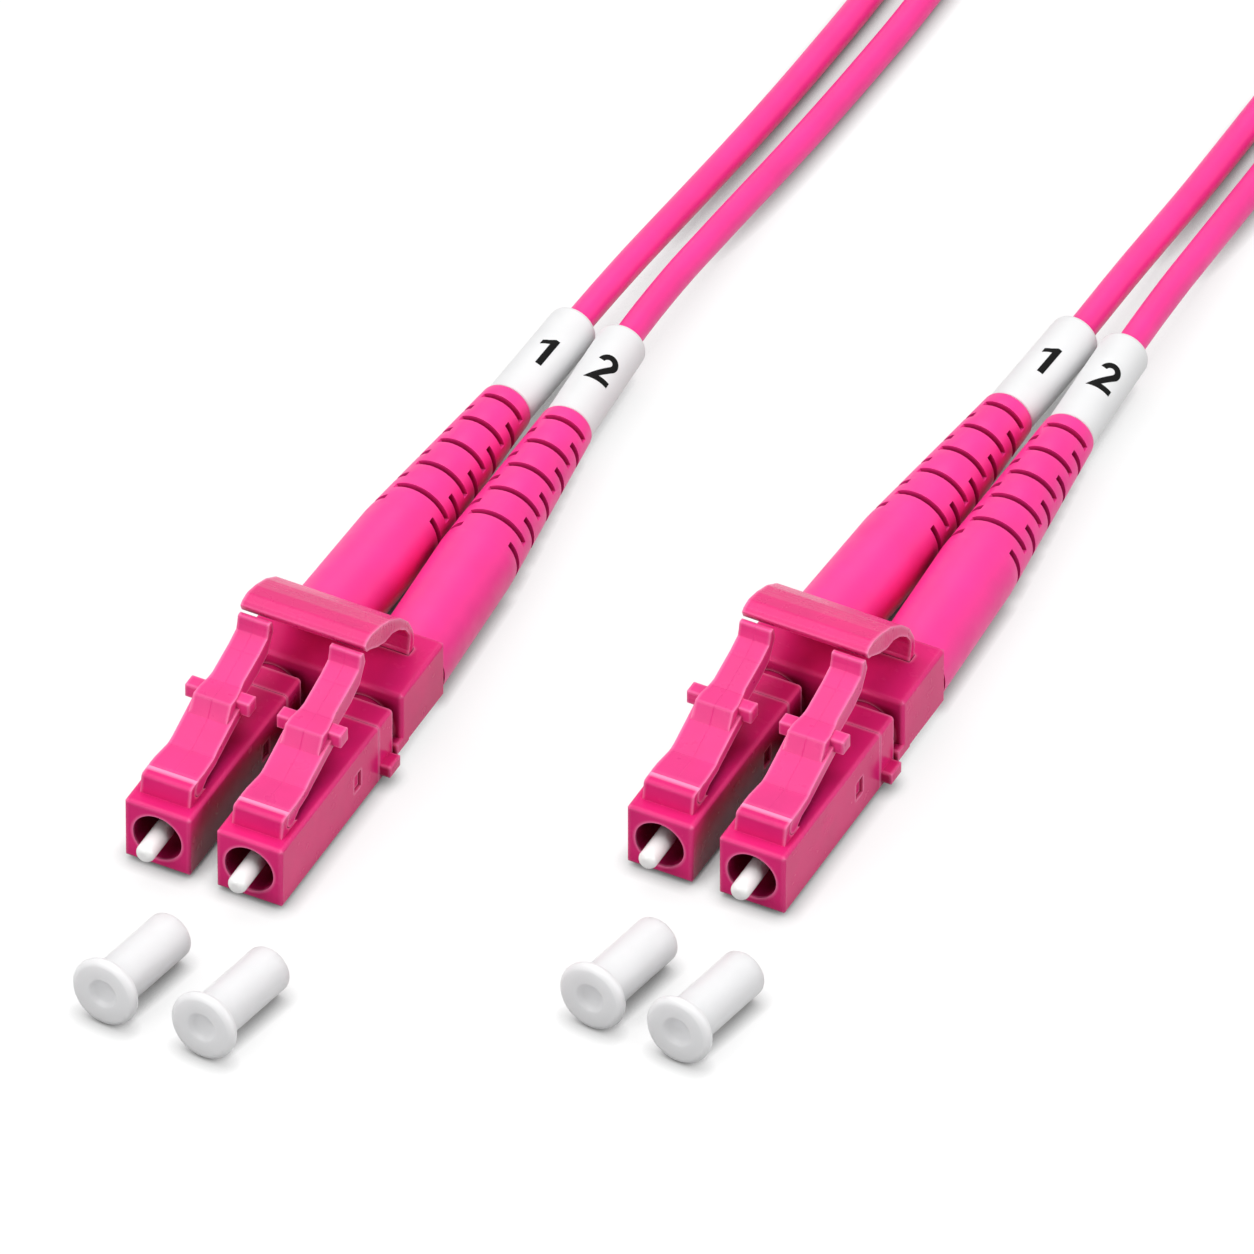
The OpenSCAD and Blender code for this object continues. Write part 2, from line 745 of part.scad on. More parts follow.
// A flat band of constant width round one side of the coil
module coil_tie() {
    color(strap_grey) at_coil() intersection() {
        rotate_extrude(angle = 180) difference() {
            coil_section(tie_t);
            coil_section(0);
        }
        translate([-tie_w / 2, 0, 0]) cube([tie_w, coil_r + coil_half + 2 * tie_t, coil_top + 2 * tie_t]);
    }
}

// ---- Assembly -------------------------------------------------------------

module at_leg(leg) {
    translate([end_place(leg).x + side(leg) * pitch / 2, end_place(leg).y, axis_z]) children();
}

module at_end(i) {
    translate([end_places[i].x, end_places[i].y, axis_z]) children();
}

for (leg = [0:3]) {
    at_leg(leg) plug_housing();
    at_leg(leg) latch();
    at_leg(leg) ferrule();
    at_leg(leg) ferrule_flange();
    at_leg(leg) spring();
    at_leg(leg) rear_body();
    at_leg(leg) crimp_sleeve();
    at_leg(leg) fibre();
    boot(leg);
    number_sleeve(leg);
    dust_cap(leg);
}
for (i = [0:1]) {
    at_end(i) duplex_clip();
    at_end(i) trigger();
}
cord(0, route_1_a);  // cord_1_a
cord(1, route_2_a);  // cord_2_a
cord(2, route_1_b);  // cord_1_b
cord(3, route_2_b);  // cord_2_b
cord_coil();
coil_tie();
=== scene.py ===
"""Looks of the duplex fibre optic patch cord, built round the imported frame."""
import math

import bmesh
import bpy
from mathutils import Matrix, Vector


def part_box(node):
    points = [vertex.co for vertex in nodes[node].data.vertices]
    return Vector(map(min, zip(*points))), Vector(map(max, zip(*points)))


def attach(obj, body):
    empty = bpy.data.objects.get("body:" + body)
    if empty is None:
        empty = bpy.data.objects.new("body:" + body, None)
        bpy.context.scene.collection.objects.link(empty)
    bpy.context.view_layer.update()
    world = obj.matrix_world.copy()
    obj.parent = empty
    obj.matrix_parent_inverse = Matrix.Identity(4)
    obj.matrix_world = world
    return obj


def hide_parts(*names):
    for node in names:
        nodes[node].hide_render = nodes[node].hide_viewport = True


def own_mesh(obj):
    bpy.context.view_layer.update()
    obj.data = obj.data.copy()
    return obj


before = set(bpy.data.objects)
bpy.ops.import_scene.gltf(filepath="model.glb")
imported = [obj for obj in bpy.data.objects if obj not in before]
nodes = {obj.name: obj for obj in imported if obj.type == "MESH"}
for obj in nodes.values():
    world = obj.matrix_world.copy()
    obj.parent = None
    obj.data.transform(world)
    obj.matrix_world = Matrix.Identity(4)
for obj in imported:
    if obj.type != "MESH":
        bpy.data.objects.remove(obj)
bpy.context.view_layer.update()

MM = 0.001
LEGS = ("a1", "a2", "b1", "b2")
ENDS = ("a", "b")
scene = bpy.context.scene

# ---- Places from the CAD source, in millimetres ----------------------------

PITCH = 6.25
BOOT_Y, BOOT_L, SLEEVE_L, AXIS_Z = 21.03, 23.9, 8.5, 2.525
SLEEVE_R = 1.6
TOE_IN = 2.55
END_SWAY = {"a": -0.6, "b": 0.1}
CORD_D = 1.8


def side(leg):
    """-1 for an end's left leg, 1 for its right."""
    return -1 if leg[1] == "1" else 1


def plug_front(leg):
    """The middle of the nose's front edge, as the frame has it."""
    lo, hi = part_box("plug_housing_" + leg)
    return (lo.x + hi.x) / 2 / MM, lo.y / MM


def end_place(leg):
    """The middle of the front of leg's end."""
    x, y = plug_front(leg)
    return x - side(leg) * PITCH / 2, y


# The source's own lengths start from the middle of end A's front
X_MIDDLE, Y_MIDDLE = (-v for v in end_place("a1"))


def lean(leg):
    return math.radians(END_SWAY[leg[0]] - side(leg) * TOE_IN)


def on_plug(leg, y, z=AXIS_Z):
    ex, ey = end_place(leg)
    return Vector((ex + side(leg) * PITCH / 2, ey + y, z))


def on_boot(leg, y):
    """A point on the boot's leaning axis, y along it from the clip."""
    return on_plug(leg, BOOT_Y) + Vector((math.sin(lean(leg)), math.cos(lean(leg)), 0)) * y


# ---- Camera ----------------------------------------------------------------

AZIMUTH, ELEVATION = math.radians(27), math.radians(41.5)
DISTANCE = 3.0
FRAME_WIDTH = 0.07623
SENSOR = 36
# The middle of the picture, from the middle of end A's front
LOOK_AT = (13.445, 30.08)
target = Vector((LOOK_AT[0] - X_MIDDLE, LOOK_AT[1] - Y_MIDDLE, AXIS_Z)) * MM
back = Vector((
    math.sin(AZIMUTH) * math.cos(ELEVATION),
    -math.cos(AZIMUTH) * math.cos(ELEVATION),
    math.sin(ELEVATION),
))
camera_data = bpy.data.cameras.new("camera")
camera_data.sensor_width = SENSOR
camera_data.lens = SENSOR * DISTANCE / FRAME_WIDTH
camera_data.clip_start, camera_data.clip_end = 0.05, 20
camera = bpy.data.objects.new("camera", camera_data)
scene.collection.objects.link(camera)
camera.location = target + back * DISTANCE
camera.rotation_mode = "QUATERNION"
camera.rotation_quaternion = (-back).to_track_quat("-Z", "Y")
scene.camera = camera

# ---- Materials -------------------------------------------------------------

# Noises of moulded plastic: scale per metre and detail, and the grain's depth in metres
CLOUDS, GLOSS_PATCHES, GRAIN = (260, 3), (900, 4), (9000, 2)
GRAIN_DEPTH = 0.00002

MAGENTA = (0.77, 0.018, 0.185)
# The latch is the same plastic as the rest of the plug; its lighter copy is painted light for the
# light its faces catch
LATCH_PAINTED_LIGHT_PINK = (0.80, 0.04, 0.235)
PINK = (0.95, 0.035, 0.30)
GLOSS_TINT = (1.0, 0.6, 0.8, 1)
# Painted highlight: a pale pink laid on convex edges in place of the light they catch
EDGE_PAINTED_HIGHLIGHT = (1.0, 0.30, 0.53)
# Painted shade: the deep red laid into gaps between a plug's pieces
PAINTED_SHADE_RED = (0.16, 0.001, 0.014)
# Painted shade laid into the boots' slots
SLOT_PAINTED_SHADE = (0.3, 0.004, 0.055)
# Width of the painted highlight along an edge, and how fully it shows
EDGE_REACH, EDGE_GAIN = 0.24, 1.3
# How shut in a place is before painted shade darkens it, how fast it then does, and how far gaps
# reach
RECESS_START, RECESS_GAIN = 0.36, 2.1
PLUG_GAP, BOOT_SLOT = 3.0, 0.8

# Mould lines: half width, depth, and places along a plug from the nose's front face
LINE_HALF, LINE_DEPTH = 0.045, 0.012
LATCH_LINES = (4.5, 8.95, 11.3)
# Fine ribs on the rear of the trigger's crest, from its lip
GRIP_LINES = (2.45, 2.8, 3.15, 3.5, 3.85)
LIP_Y = 13.2

# Where a noise's range starts and stops in a colour ramp
RAMP_SPAN = (0.35, 0.65)
# Rays that each ambient occlusion node sends out
NEAR_SAMPLES = 8


class Shader:
    """A Principled material with short calls for its procedural inputs."""

    def __init__(self, name, **sockets):
        self.material = bpy.data.materials.new(name)
        self.material.use_nodes = True
        self.tree = self.material.node_tree
        self.bsdf = self.tree.nodes["Principled BSDF"]
        for key, value in sockets.items():
            self.bsdf.inputs[key.replace("_", " ")].default_value = value

    def node(self, kind, **inputs):
        n = self.tree.nodes.new(kind)
        for key, value in inputs.items():
            n.inputs[key.replace("_", " ")].default_value = value
        return n

    def link(self, a, out, b, into):
        self.tree.links.new(a.outputs[out], b.inputs[into])

    def math(self, operation, *values):
        """A Math node's result; each value is a number or another node's output."""
        n = self.tree.nodes.new("ShaderNodeMath")
        n.operation = operation
        for socket, value in zip(n.inputs, values):
            if isinstance(value, bpy.types.NodeSocket):
                self.tree.links.new(value, socket)
            else:
                socket.default_value = value
        return n.outputs[0]

    def noise(self, scale, detail):
        """Noise in object space, scale per metre."""
        place = self.node("ShaderNodeTexCoord")
        noise = self.node("ShaderNodeTexNoise", Scale=scale, Detail=detail)
        self.link(place, "Object", noise, "Vector")
        return noise.outputs["Fac"]

    def ramp(self, fac, low, high, into):
        """Feeds an input from low to high, numbers or colours, over the middle of fac's range."""
        ramp = self.node("ShaderNodeValToRGB")
        for element, at, value in zip(ramp.color_ramp.elements, RAMP_SPAN, (low, high)):
            element.position = at
            element.color = (*value, 1) if hasattr(value, "__len__") else (value, value, value, 1)
        self.tree.links.new(fac, ramp.inputs["Fac"])
        self.link(ramp, "Color", self.bsdf, into)

    def bump(self, height, strength, distance):
        """Adds a height in metres times distance to the bumps already there."""
        bump = self.node("ShaderNodeBump", Strength=strength, Distance=distance)
        normal = self.bsdf.inputs["Normal"]
        if normal.is_linked:
            self.tree.links.new(normal.links[0].from_socket, bump.inputs["Normal"])
        self.tree.links.new(height, bump.inputs["Height"])
        self.link(bump, "Normal", self.bsdf, "Normal")

    def near(self, distance, inside=False):
        """How much lies within distance: other surfaces, or with inside the piece's own edges."""
        n = self.node("ShaderNodeAmbientOcclusion", Distance=distance * MM)
        n.samples = NEAR_SAMPLES
        n.inside = n.only_local = inside
        return self.math("SUBTRACT", 1.0, n.outputs["AO"])

    def mix(self, into, fac, colour):
        """Mixes colour over what feeds an input, by fac."""
        mix = self.node("ShaderNodeMix")
        mix.data_type = "RGBA"
        # A Mix node has sockets for every data type; these are the factor's and the colours'
        factor, below, above = (mix.inputs[k] for k in (0, 6, 7))
        self.tree.links.new(fac, factor)
        self.tree.links.new(self.bsdf.inputs[into].links[0].from_socket, below)
        above.default_value = (*colour, 1)
        self.tree.links.new(mix.outputs[2], self.bsdf.inputs[into])

    def grooves(self, lines):
        """1 on thin lines square to an axis, 0 elsewhere; lines of (axis, place in mm)."""
        place = self.node("ShaderNodeTexCoord")
        split = self.node("ShaderNodeSeparateXYZ")
        self.link(place, "Object", split, "Vector")
        total = 0.0
        for axis, at in lines:
            away = self.math("ABSOLUTE", self.math("SUBTRACT", split.outputs[axis], at * MM))
            line = self.math("SUBTRACT", 1.0, self.math("DIVIDE", away, LINE_HALF * MM))
            total = self.math("MAXIMUM", self.math("MAXIMUM", line, 0.0), total)
        return total


def moulded(name, colour, roughness, spread=0.06, bump=0.04, lines=(), edge=None, recess=None,
            **sockets):
    """Moulded plastic: faint cloudy colour, uneven gloss, a fine grain and mould lines.

    edge is the colour of a painted highlight along its edges. recess is the colour of painted
    shade in its gaps, and how far they reach.
    """
    s = Shader(name, **sockets)
    dark = [c * (1 - spread) for c in colour]
    light = [min(1, c * (1 + spread)) for c in colour]
    s.ramp(s.noise(*CLOUDS), dark, light, "Base Color")
    # Painted shade: the colour darkens where other surfaces close round a place
    if recess:
        shade_colour, reach = recess
        shut_in = s.math("SUBTRACT", s.near(reach), RECESS_START)
        s.mix("Base Color", s.math("MAXIMUM", s.math("MULTIPLY", shut_in, RECESS_GAIN), 0.0), shade_colour)
    # Painted highlight: a lighter colour along the piece's own convex edges
    if edge:
        s.mix("Base Color", s.math("MULTIPLY", s.near(EDGE_REACH, inside=True), EDGE_GAIN), edge)
    s.ramp(s.noise(*GLOSS_PATCHES), roughness * 0.9, min(1, roughness * 1.1), "Roughness")
    s.bump(s.noise(*GRAIN), bump, GRAIN_DEPTH)
    if lines:
        s.bump(s.math("MULTIPLY", s.grooves(lines), -1.0), 1.0, LINE_DEPTH * MM)
    return s.material


def plug_plastic(name, colour, roughness=0.25, gloss=0.13, lines=()):
    # Its edges get a painted highlight and its gaps painted shade
    return moulded(name, colour, roughness, bump=0.01, lines=lines, edge=EDGE_PAINTED_HIGHLIGHT,
                   recess=(PAINTED_SHADE_RED, PLUG_GAP), IOR=1.5, Specular_IOR_Level=gloss,
                   Specular_Tint=GLOSS_TINT)


def latch_plastic(leg):
    axis = on_plug(leg, 0)
    lines = [("X", axis.x)] + [("Y", axis.y + y) for y in LATCH_LINES]
    # A lighter copy of the plug plastic, as painted light
    return plug_plastic("latch_plastic_" + leg, LATCH_PAINTED_LIGHT_PINK, 0.3, 0.3, lines)


def trigger_plastic(end):
    front = end_place(end + "1")[1] + LIP_Y
    return plug_plastic("trigger_plastic_" + end, MAGENTA, 0.28, 0.35,
                        [("Y", front + y) for y in GRIP_LINES])


mat_plug = plug_plastic("plug_plastic", MAGENTA)
# The boot's slots get painted shade
mat_boot = moulded("boot_rubber", PINK, 0.42, bump=0.1, recess=(SLOT_PAINTED_SHADE, BOOT_SLOT), IOR=1.45)
mat_cord = moulded("cord_jacket", PINK, 0.4, bump=0.08, IOR=1.45)
mat_sleeve = moulded("sleeve_white", (0.80, 0.80, 0.805), 0.5, spread=0.02, bump=0.05)
mat_cap = moulded("cap_milky", (0.80, 0.80, 0.81), 0.38, spread=0.01, bump=0.05,
                  Subsurface_Weight=0.9, Subsurface_Radius=(1.0, 1.0, 1.0),
                  Subsurface_Scale=0.0015)
mat_zirconia = moulded("zirconia", (0.93, 0.93, 0.92), 0.2, spread=0.01, bump=0.01)
mat_nickel = moulded("nickel_plate", (0.62, 0.60, 0.55), 0.25, spread=0.04, bump=0.05,
                     Metallic=1.0)
mat_steel = moulded("spring_wire", (0.55, 0.56, 0.58), 0.3, spread=0.04, bump=0.1, Metallic=1.0)
mat_fibre = moulded("buffered_fibre", (0.82, 0.85, 0.80), 0.35, spread=0.02)
mat_ink = moulded("digit_ink", (0.003, 0.003, 0.003), 0.6, spread=0.2, bump=0.05,
                  Specular_IOR_Level=0.1)


# Radians of a wave texture's sine in each metre, at a scale of 1
WAVE_RATE = 20


def woven(name, colour, thread):
    """A woven band: ribs along and across it, with a soft pile."""
    s = Shader(name, Roughness=0.95, Sheen_Weight=0.5, Sheen_Roughness=0.4)
    place = s.node("ShaderNodeTexCoord")
    ribs = []
    for axis in "XYZ":
        wave = s.node("ShaderNodeTexWave", Scale=1 / (WAVE_RATE * thread * MM), Distortion=0.6,
                      Detail=1.0)
        wave.bands_direction = axis
        s.link(place, "Object", wave, "Vector")
        ribs.append(wave.outputs["Fac"])
    weave = s.math("MULTIPLY", ribs[0], s.math("MAXIMUM", ribs[1], ribs[2]))
    s.bump(weave, 0.8, thread * MM / 2)
    s.bump(s.noise(5000, 4), 0.5, 0.00005)
    dark, light = ([c * k for c in colour] for k in (0.7, 1.5))
    s.ramp(s.noise(1800, 3), dark, light, "Base Color")
    return s.material


mat_strap = woven("strap_weave", (0.03, 0.03, 0.034), 0.35)

SLOTS = {
    "plug_housing": ("plug_magenta", mat_plug), "latch": ("plug_magenta", latch_plastic),
    "rear_body": ("plug_magenta", mat_plug), "duplex_clip": ("plug_magenta", mat_plug),
    "trigger": ("plug_magenta", trigger_plastic), "ferrule": ("zirconia", mat_zirconia),
    "ferrule_flange": ("nickel", mat_nickel), "spring": ("spring_steel", mat_steel),
    "crimp_sleeve": ("nickel", mat_nickel), "fibre": ("fibre_buffer", mat_fibre),
    "boot": ("boot_pink", mat_boot), "number_sleeve": ("sleeve_white", mat_sleeve),
    "dust_cap": ("cap_milky", mat_cap),
}


def place(name, mesh, material, slot, body="root"):
    """Links a new piece, made in place in the row frame, and rides it on its body."""
    if name in bpy.data.objects:
        raise ValueError(name)
    obj = bpy.data.objects.new(name, mesh)
    scene.collection.objects.link(obj)
    mesh.materials.append(material)
    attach(obj, body)
    return obj


# ---- Springs ---------------------------------------------------------------

# A copy of each spring's solid stands in for the spring
for leg in LEGS:
    node = bpy.data.objects[f"spring_{leg}"]
    wire = node.data.copy()
    wire.materials.clear()
    coil = place(f"pressed_spring_{leg}", wire, mat_steel, "spring_steel")
    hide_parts(node.name)
    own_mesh(coil)

# ---- Cords -----------------------------------------------------------------

# Free stretches from each sleeve to the coil, from the middle of end A's front
ROUTES = {
    "a1": (
        (-1.78, 60, 2.36), (-1.6, 65, 2), (-1.42, 70, 1.6), (-1.25, 75, 1.25),
        (-1.08, 80, 1.02), (-0.92, 85, 0.93), (-0.79, 90, 0.91), (-0.8, 95, 0.92),
        (-0.86, 100, 0.96), (-0.98, 105, 1.04), (-1.14, 110, 1.14), (-1.32, 115, 1.24),
        (-1.46, 120, 1.3),
    ),
    "a2": (
        (1.3, 60, 2.36), (1.42, 65, 2), (1.58, 70, 1.6), (1.78, 75, 1.25),
        (1.98, 80, 1.02), (2.18, 85, 0.93), (2.34, 90, 0.91), (2.36, 95, 1),
        (2.15, 100, 1.3), (1.55, 105, 1.98), (0.65, 110, 3), (-0.4, 115, 4.35),
        (-1.3, 120, 4.9),
    ),
    "b1": (
        (25.8, 73, 2.36), (25.75, 78, 1.9), (25.68, 83, 1.4), (25.6, 88, 1.05),
        (25.65, 93, 0.98), (25.93, 98, 1.15), (26.5, 103, 1.53), (27.15, 108, 2.05),
        (27.78, 113, 2.58), (28.25, 118, 2.98), (28.48, 122, 3.1),
    ),
    "b2": (
        (28.9, 73, 2.36), (28.75, 78, 1.9), (28.6, 83, 1.4), (28.5, 88, 1.05),
        (28.46, 93, 1.15), (28.46, 98, 1.9), (28.47, 103, 3.2), (28.48, 108, 4.7),
        (28.49, 113, 5.9), (28.5, 118, 6.55), (28.5, 122, 6.7),
    ),
}
# Along a plug and then along its boot: where a cord starts at the crimp, and bends with the boot
CRIMP_YS, IN_BOOT_YS = (25.5, 26.7), (10.5, 0.7 * BOOT_L, BOOT_L, BOOT_L + SLEEVE_L)

COIL_PLACE = (13.5, 124.0)
COIL_COLUMNS, COIL_ROWS = 6, 4
COIL_R = 10.5
TIE_T = 0.4
# Turns of each leg, and points in each turn
COIL_TURNS, COIL_STEPS = 11.5, 24


def ease(t):
    """A smooth step from 0 at t = 0 to 1 at t = 1."""
    t = min(max(t, 0.0), 1.0)
    return t * t * (3 - 2 * t)


def coil_points(first_row):
    """One leg's turns: inwards on its lower row, up, and outwards on its upper row."""
    low = TIE_T + CORD_D * (first_row + 0.5)
    inner = COIL_R - (COIL_COLUMNS - 1) * CORD_D / 2
    last = COIL_COLUMNS - 1
    points = []
    for i in range(int(COIL_TURNS * COIL_STEPS) + 1):
        done = i // COIL_STEPS
        angle = 360 * (i / COIL_STEPS - done)
        # Degrees into the half turn in which the cord changes its column or its row
        near = angle - 180
        z = low
        if done < last:
            column = last - done - ease((near - 70) / 50)
        elif done == last:
            column = 0
            z += CORD_D * ease((near - 20) / 80)
        else:
            column = done - COIL_COLUMNS + ease(near / 50)
            z += CORD_D
        r = inner + CORD_D * column
        a = math.radians(180 - angle)
        points.append(Vector((
            COIL_PLACE[0] - X_MIDDLE + r * math.cos(a),
            COIL_PLACE[1] - Y_MIDDLE + r * math.sin(a),
            z,
        )))
    return points


def free_points(leg):
    """From the crimp through the boot and the sleeve, and on to the coil."""
    inside = [on_plug(leg, y) for y in CRIMP_YS] + [on_boot(leg, y) for y in IN_BOOT_YS]
    return inside + [Vector((x - X_MIDDLE, y - Y_MIDDLE, z)) for x, y, z in ROUTES[leg]]


def make_cord(number, first_row):
    """The leg with this number from end A through the coil to end B."""
    points = free_points("a" + number) + coil_points(first_row) + free_points("b" + number)[::-1]
    curve = bpy.data.curves.new("cord_" + number, "CURVE")
    curve.dimensions = "3D"
    spline = curve.splines.new("BEZIER")
    spline.bezier_points.add(len(points) - 1)
    for knot, p in zip(spline.bezier_points, points):
        knot.co = p * MM
        knot.handle_left_type = knot.handle_right_type = "AUTO"
    curve.resolution_u = 4
    curve.bevel_depth = CORD_D / 2 * MM
    curve.bevel_resolution = 6
    curve.use_fill_caps = True
    cord = place("cord_" + number, curve, mat_cord, "cord_pink")
    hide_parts(f"cord_{number}_a", f"cord_{number}_b", "cord_coil")


make_cord("1", 0)
make_cord("2", COIL_ROWS // 2)

# ---- Strap round the coil --------------------------------------------------

TIE_W = 6.0
STRAP_T = 0.34
# How far the strap's end runs on over its start, and where it climbs onto it
STRAP_OVERLAP, STRAP_CLIMB = 4.5, (-1.5, -0.4)
STRAP_STEPS = 12
COIL_HALF, COIL_TOP = COIL_COLUMNS * CORD_D / 2, TIE_T + COIL_ROWS * CORD_D


def band_path(grow, steps=6):
    """The coil's section grown by grow, as (radius, z) once round from the middle of its top."""
    middle = (COIL_R, (TIE_T + COIL_TOP) / 2)
    half = (COIL_HALF + grow, (COIL_TOP - TIE_T) / 2 + grow)
    r = CORD_D / 2 + grow
    points = [Vector((middle[0], middle[1] + half[1]))]
    for corner, (sx, sz) in enumerate(((1, 1), (1, -1), (-1, -1), (-1, 1))):
        cx, cz = middle[0] + sx * (half[0] - r), middle[1] + sz * (half[1] - r)
        for i in range(steps + 1):
            t = math.radians(90 * (corner + i / steps))
            points.append(Vector((cx + r * math.sin(t), cz + r * math.cos(t))))
    return points


def make_strap():
    """A flat woven band once round the coil's section, its end pressed down over its start."""
    under, over = band_path(TIE_T / 2), band_path(TIE_T / 2 + STRAP_T * 1.1)
    low, high = under[0].y, over[0].y
    end = ((STRAP_CLIMB[0], low), (STRAP_CLIMB[1], high), (STRAP_OVERLAP, high))
    path = under + [Vector((COIL_R + x, z)) for x, z in end]
    across = [TIE_W * (i / STRAP_STEPS - 0.5) for i in range(STRAP_STEPS + 1)]
    bm = bmesh.new()
    rows = [
        [bm.verts.new(Vector((
            COIL_PLACE[0] - X_MIDDLE + x,
            COIL_PLACE[1] - Y_MIDDLE + math.sqrt(p.x * p.x - x * x),
            p.y)) * MM) for x in across]
        for p in path
    ]
    for a, b in zip(rows, rows[1:]):
        for k in range(len(across) - 1):
            bm.faces.new((a[k], a[k + 1], b[k + 1], b[k]))
    bmesh.ops.recalc_face_normals(bm, faces=bm.faces)
    mesh = bpy.data.meshes.new("coil_strap")
    bm.to_mesh(mesh)
    bm.free()
    for polygon in mesh.polygons:
        polygon.use_smooth = True
    strap = place("coil_strap", mesh, mat_strap, "tie_strap")
    solid = strap.modifiers.new("solid", "SOLIDIFY")
    solid.thickness, solid.offset = STRAP_T * MM, 0
    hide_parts("coil_tie")


make_strap()

# ---- Digits on the sleeves -------------------------------------------------

DIGIT_H, DIGIT_STROKE, DIGIT_T = 2.45, 0.43, 0.03
# Round the sleeve from its top, and along it from the boot
DIGIT_ROLL = {"1": math.radians(14), "2": math.radians(22)}
DIGIT_AT = {"1": 4.06, "2": 4.3}
# Width of the strips that a digit is cut into, so that it bends
DIGIT_STRIP = 0.1


def stroke_outline(points, half):
    """The closed outline of a stroke along points, half wide to each side, with mitred corners."""
    left, right = [], []
    for i, p in enumerate(points):
        before = (p - points[i - 1]).normalized() if i else None
        after = (points[i + 1] - p).normalized() if i + 1 < len(points) else None
        sides = [Vector((-d.y, d.x)) for d in (before, after) if d]
        mitre = sum(sides, Vector((0, 0))).normalized()
        mitre *= half / mitre.dot(sides[0])
        left.append(p + mitre)
        right.append(p - mitre)
    return left + right[::-1]


def digit_outline(text):
    """A plain bold digit DIGIT_H high about the origin, as one closed outline."""
    top, half = DIGIT_H / 2, DIGIT_STROKE / 2
    if text == "1":
        stem = 0.18
        flag = ((stem - half, 0.68), (-0.6, 0.4), (-0.6, 0.78), (-0.22, 0.95), (stem - 0.06, top))
        return [Vector(p) for p in (
            (stem - half, -top), (stem + half, -top), (stem + half, top), *flag[::-1])]
    bowl = 0.5
    arc = [math.radians(a) for a in range(170, -41, -15)]
    crown = [Vector((bowl * math.cos(a), top - half - bowl + bowl * math.sin(a))) for a in arc]
    return stroke_outline(crown + [Vector((-0.5, half - top)), Vector((0.75, half - top))], half)


def flat_digit(text):
    """The digit lying flat, DIGIT_T thick, cut into strips that can bend."""
    bm = bmesh.new()
    face = bm.faces.new([bm.verts.new((p.x, p.y, -DIGIT_T / 2)) for p in digit_outline(text)])
    raised = bmesh.ops.extrude_face_region(bm, geom=[face])["geom"]
    for v in raised:
        if isinstance(v, bmesh.types.BMVert):
            v.co.z = DIGIT_T / 2
    bmesh.ops.triangulate(bm, faces=bm.faces)
    half = max(abs(v.co.x) for v in bm.verts)
    for i in range(1, int(2 * half / DIGIT_STRIP)):
        bmesh.ops.bisect_plane(
            bm, geom=list(bm.verts) + list(bm.edges) + list(bm.faces), dist=1e-6,
            plane_co=(i * DIGIT_STRIP - half, 0, 0), plane_no=(1, 0, 0))
    bmesh.ops.recalc_face_normals(bm, faces=bm.faces)
    return bm


def make_digit(leg):
    """The leg's digit printed on its sleeve, bent round it, its head towards the cord."""
    bm = flat_digit(leg[1])
    turn = Matrix.Rotation(-lean(leg), 4, "Z")
    centre = on_boot(leg, BOOT_L + DIGIT_AT[leg[1]])
    for v in bm.verts:
        r, t = SLEEVE_R + v.co.z, DIGIT_ROLL[leg[1]] + v.co.x / SLEEVE_R
        v.co = (centre + turn @ Vector((r * math.sin(t), v.co.y, r * math.cos(t)))) * MM
    mesh = bpy.data.meshes.new("digit_" + leg)
    bm.to_mesh(mesh)
    bm.free()
    place("digit_" + leg, mesh, mat_ink, "sleeve_white")


for leg in LEGS:
    make_digit(leg)

# ---- CAD nodes -------------------------------------------------------------

# Radius of the soft edge that moulding leaves, in millimetres
EDGES = {
    "plug_housing": 0.09, "latch": 0.13, "rear_body": 0.08, "duplex_clip": 0.1, "trigger": 0.12,
    "boot": 0.07,
}


def smooth(obj):
    """Shades a CAD node smooth across its flat faces' edges."""
    for polygon in obj.data.polygons:
        polygon.use_smooth = True
    if "custom_normal" in obj.data.attributes:
        obj.data.attributes.remove(obj.data.attributes["custom_normal"])
    weighted = obj.modifiers.new("normals", "WEIGHTED_NORMAL")
    weighted.keep_sharp = True


def soften(obj, radius):
    """Merges the CAD triangles into whole faces and rounds the edges between them."""
    weld = obj.modifiers.new("weld", "WELD")
    weld.merge_threshold = 1e-6
    flat = obj.modifiers.new("flat", "DECIMATE")
    flat.decimate_type = "DISSOLVE"
    flat.angle_limit = math.radians(0.5)
    if radius:
        bevel = obj.modifiers.new("bevel", "BEVEL")
        bevel.width = radius * MM
        bevel.segments = 3
        bevel.limit_method = "ANGLE"
        bevel.angle_limit = math.radians(40)
    smooth(obj)


for kind, (slot, material) in SLOTS.items():
    for suffix in LEGS + ENDS:
        name = f"{kind}_{suffix}"
        if name in nodes:
            obj = nodes[name]
            obj.data.materials.clear()
            obj.data.materials.append(material(suffix) if callable(material) else material)
            soften(obj, EDGES.get(kind, 0))

# ---- Floor and light -------------------------------------------------------

FLOOR_HALF = 3
FLOOR_DROP = 0.02
floor_mesh = bpy.data.meshes.new("floor")
corners = [(x * FLOOR_HALF, y * FLOOR_HALF, 0) for x, y in ((-1, -1), (1, -1), (1, 1), (-1, 1))]
floor_mesh.from_pydata(corners, [], [(0, 1, 2, 3)])
floor = bpy.data.objects.new("floor", floor_mesh)
floor.location.z = -FLOOR_DROP * MM
scene.collection.objects.link(floor)
mat_floor = Shader("floor", Base_Color=(0.2, 0.2, 0.2, 1), Roughness=0.9)


def seen_directly(tree):
    """1 for camera, glossy and transmission rays, 0 for the rest."""
    path = tree.nodes.new("ShaderNodeLightPath")
    rays = [path.outputs[k] for k in ("Is Camera Ray", "Is Glossy Ray", "Is Transmission Ray")]
    total = rays[0]
    for ray in rays[1:]:
        add = tree.nodes.new("ShaderNodeMath")
        add.operation = "ADD"
        add.use_clamp = True
        tree.links.new(total, add.inputs[0])
        tree.links.new(ray, add.inputs[1])
        total = add.outputs[0]
    return total


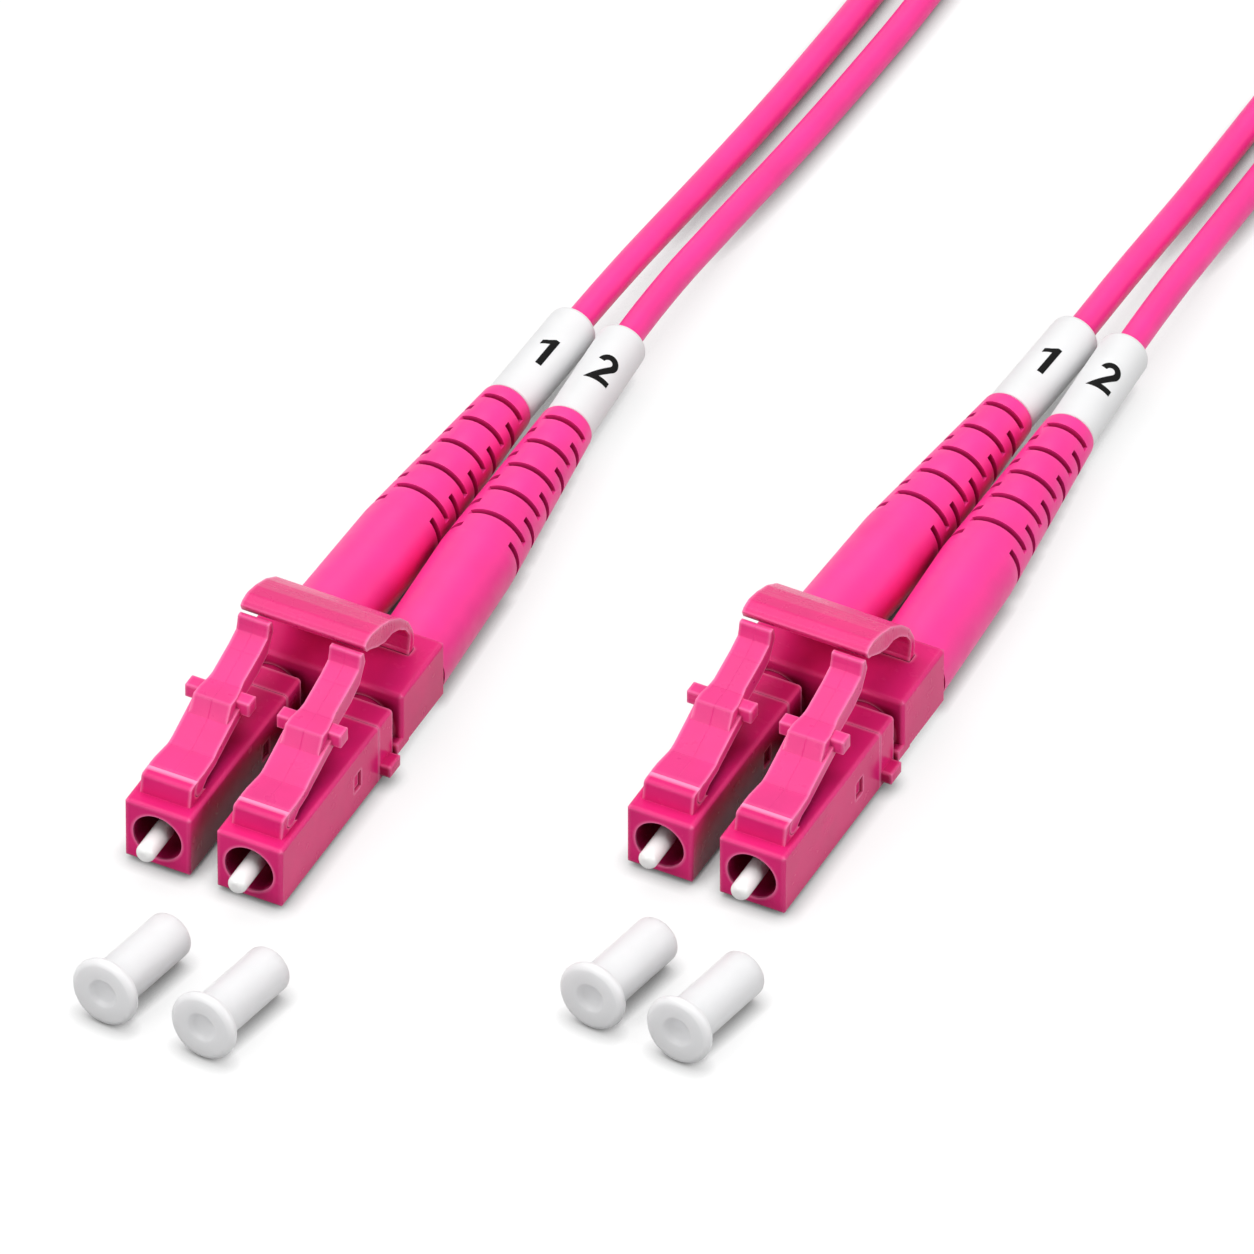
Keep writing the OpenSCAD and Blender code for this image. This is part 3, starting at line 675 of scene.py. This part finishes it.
def scaled(tree, value, low, high):
    """low where value is 0 and high where it is 1."""
    spread = tree.nodes.new("ShaderNodeMapRange")
    spread.inputs["To Min"].default_value, spread.inputs["To Max"].default_value = low, high
    tree.links.new(value, spread.inputs["Value"])
    return spread.outputs[0]


# The floor glows just enough to be white to the eye, less so close to what stands on it: a painted
# contact shadow
FLOOR_GLOW, CONTACT = 0.79, 1.15
# It stops glowing in the slots between two pieces, a painted shade there: how far these reach, and
# where they start
SLOT_REACH, SLOT_START = 5.0, 0.6
mat_floor.bsdf.inputs["Emission Color"].default_value = (1, 1, 1, 1)
in_slot = mat_floor.math("SUBTRACT", mat_floor.near(SLOT_REACH), SLOT_START)
in_slot = mat_floor.math("MAXIMUM", mat_floor.math("DIVIDE", in_slot, 1 - SLOT_START), 0.0)
openness = mat_floor.math(
    "MULTIPLY",
    mat_floor.math("SUBTRACT", 1.0, mat_floor.near(CONTACT)),
    mat_floor.math("SUBTRACT", 1.0, in_slot),
)
mat_floor.tree.links.new(
    mat_floor.math(
        "MULTIPLY",
        scaled(mat_floor.tree, seen_directly(mat_floor.tree), 0, FLOOR_GLOW),
        openness,
    ),
    mat_floor.bsdf.inputs["Emission Strength"],
)
floor_mesh.materials.append(mat_floor.material)


def area_light(name, place, power, wide, high=None):
    """A round softbox that looks at the origin, or a strip where high is given."""
    data = bpy.data.lights.new(name, "AREA")
    data.energy = power
    data.shape = "RECTANGLE" if high else "DISK"
    data.size = wide
    data.size_y = high or wide
    lamp = bpy.data.objects.new(name, data)
    scene.collection.objects.link(lamp)
    lamp.location = place
    lamp.rotation_mode = "QUATERNION"
    lamp.rotation_quaternion = (-Vector(place)).to_track_quat("-Z", "Y")


area_light("key", (-0.22, 0.12, 0.85), 6.0, 1.0)
area_light("fill", (0.6, 0.0, 0.28), 2.1, 0.5)
area_light("glint", (-0.17, -0.40, 0.25), 1.1, 0.2, 0.5)

WORLD_LIGHT = 0.28
world = bpy.data.worlds.new("world")
scene.world = world
world.use_nodes = True
background = world.node_tree.nodes["Background"]
background.inputs["Color"].default_value = (1, 1, 1, 1)
world.node_tree.links.new(
    scaled(world.node_tree, seen_directly(world.node_tree), WORLD_LIGHT, 1),
    background.inputs["Strength"],
)

scene.view_settings.view_transform = "Standard"
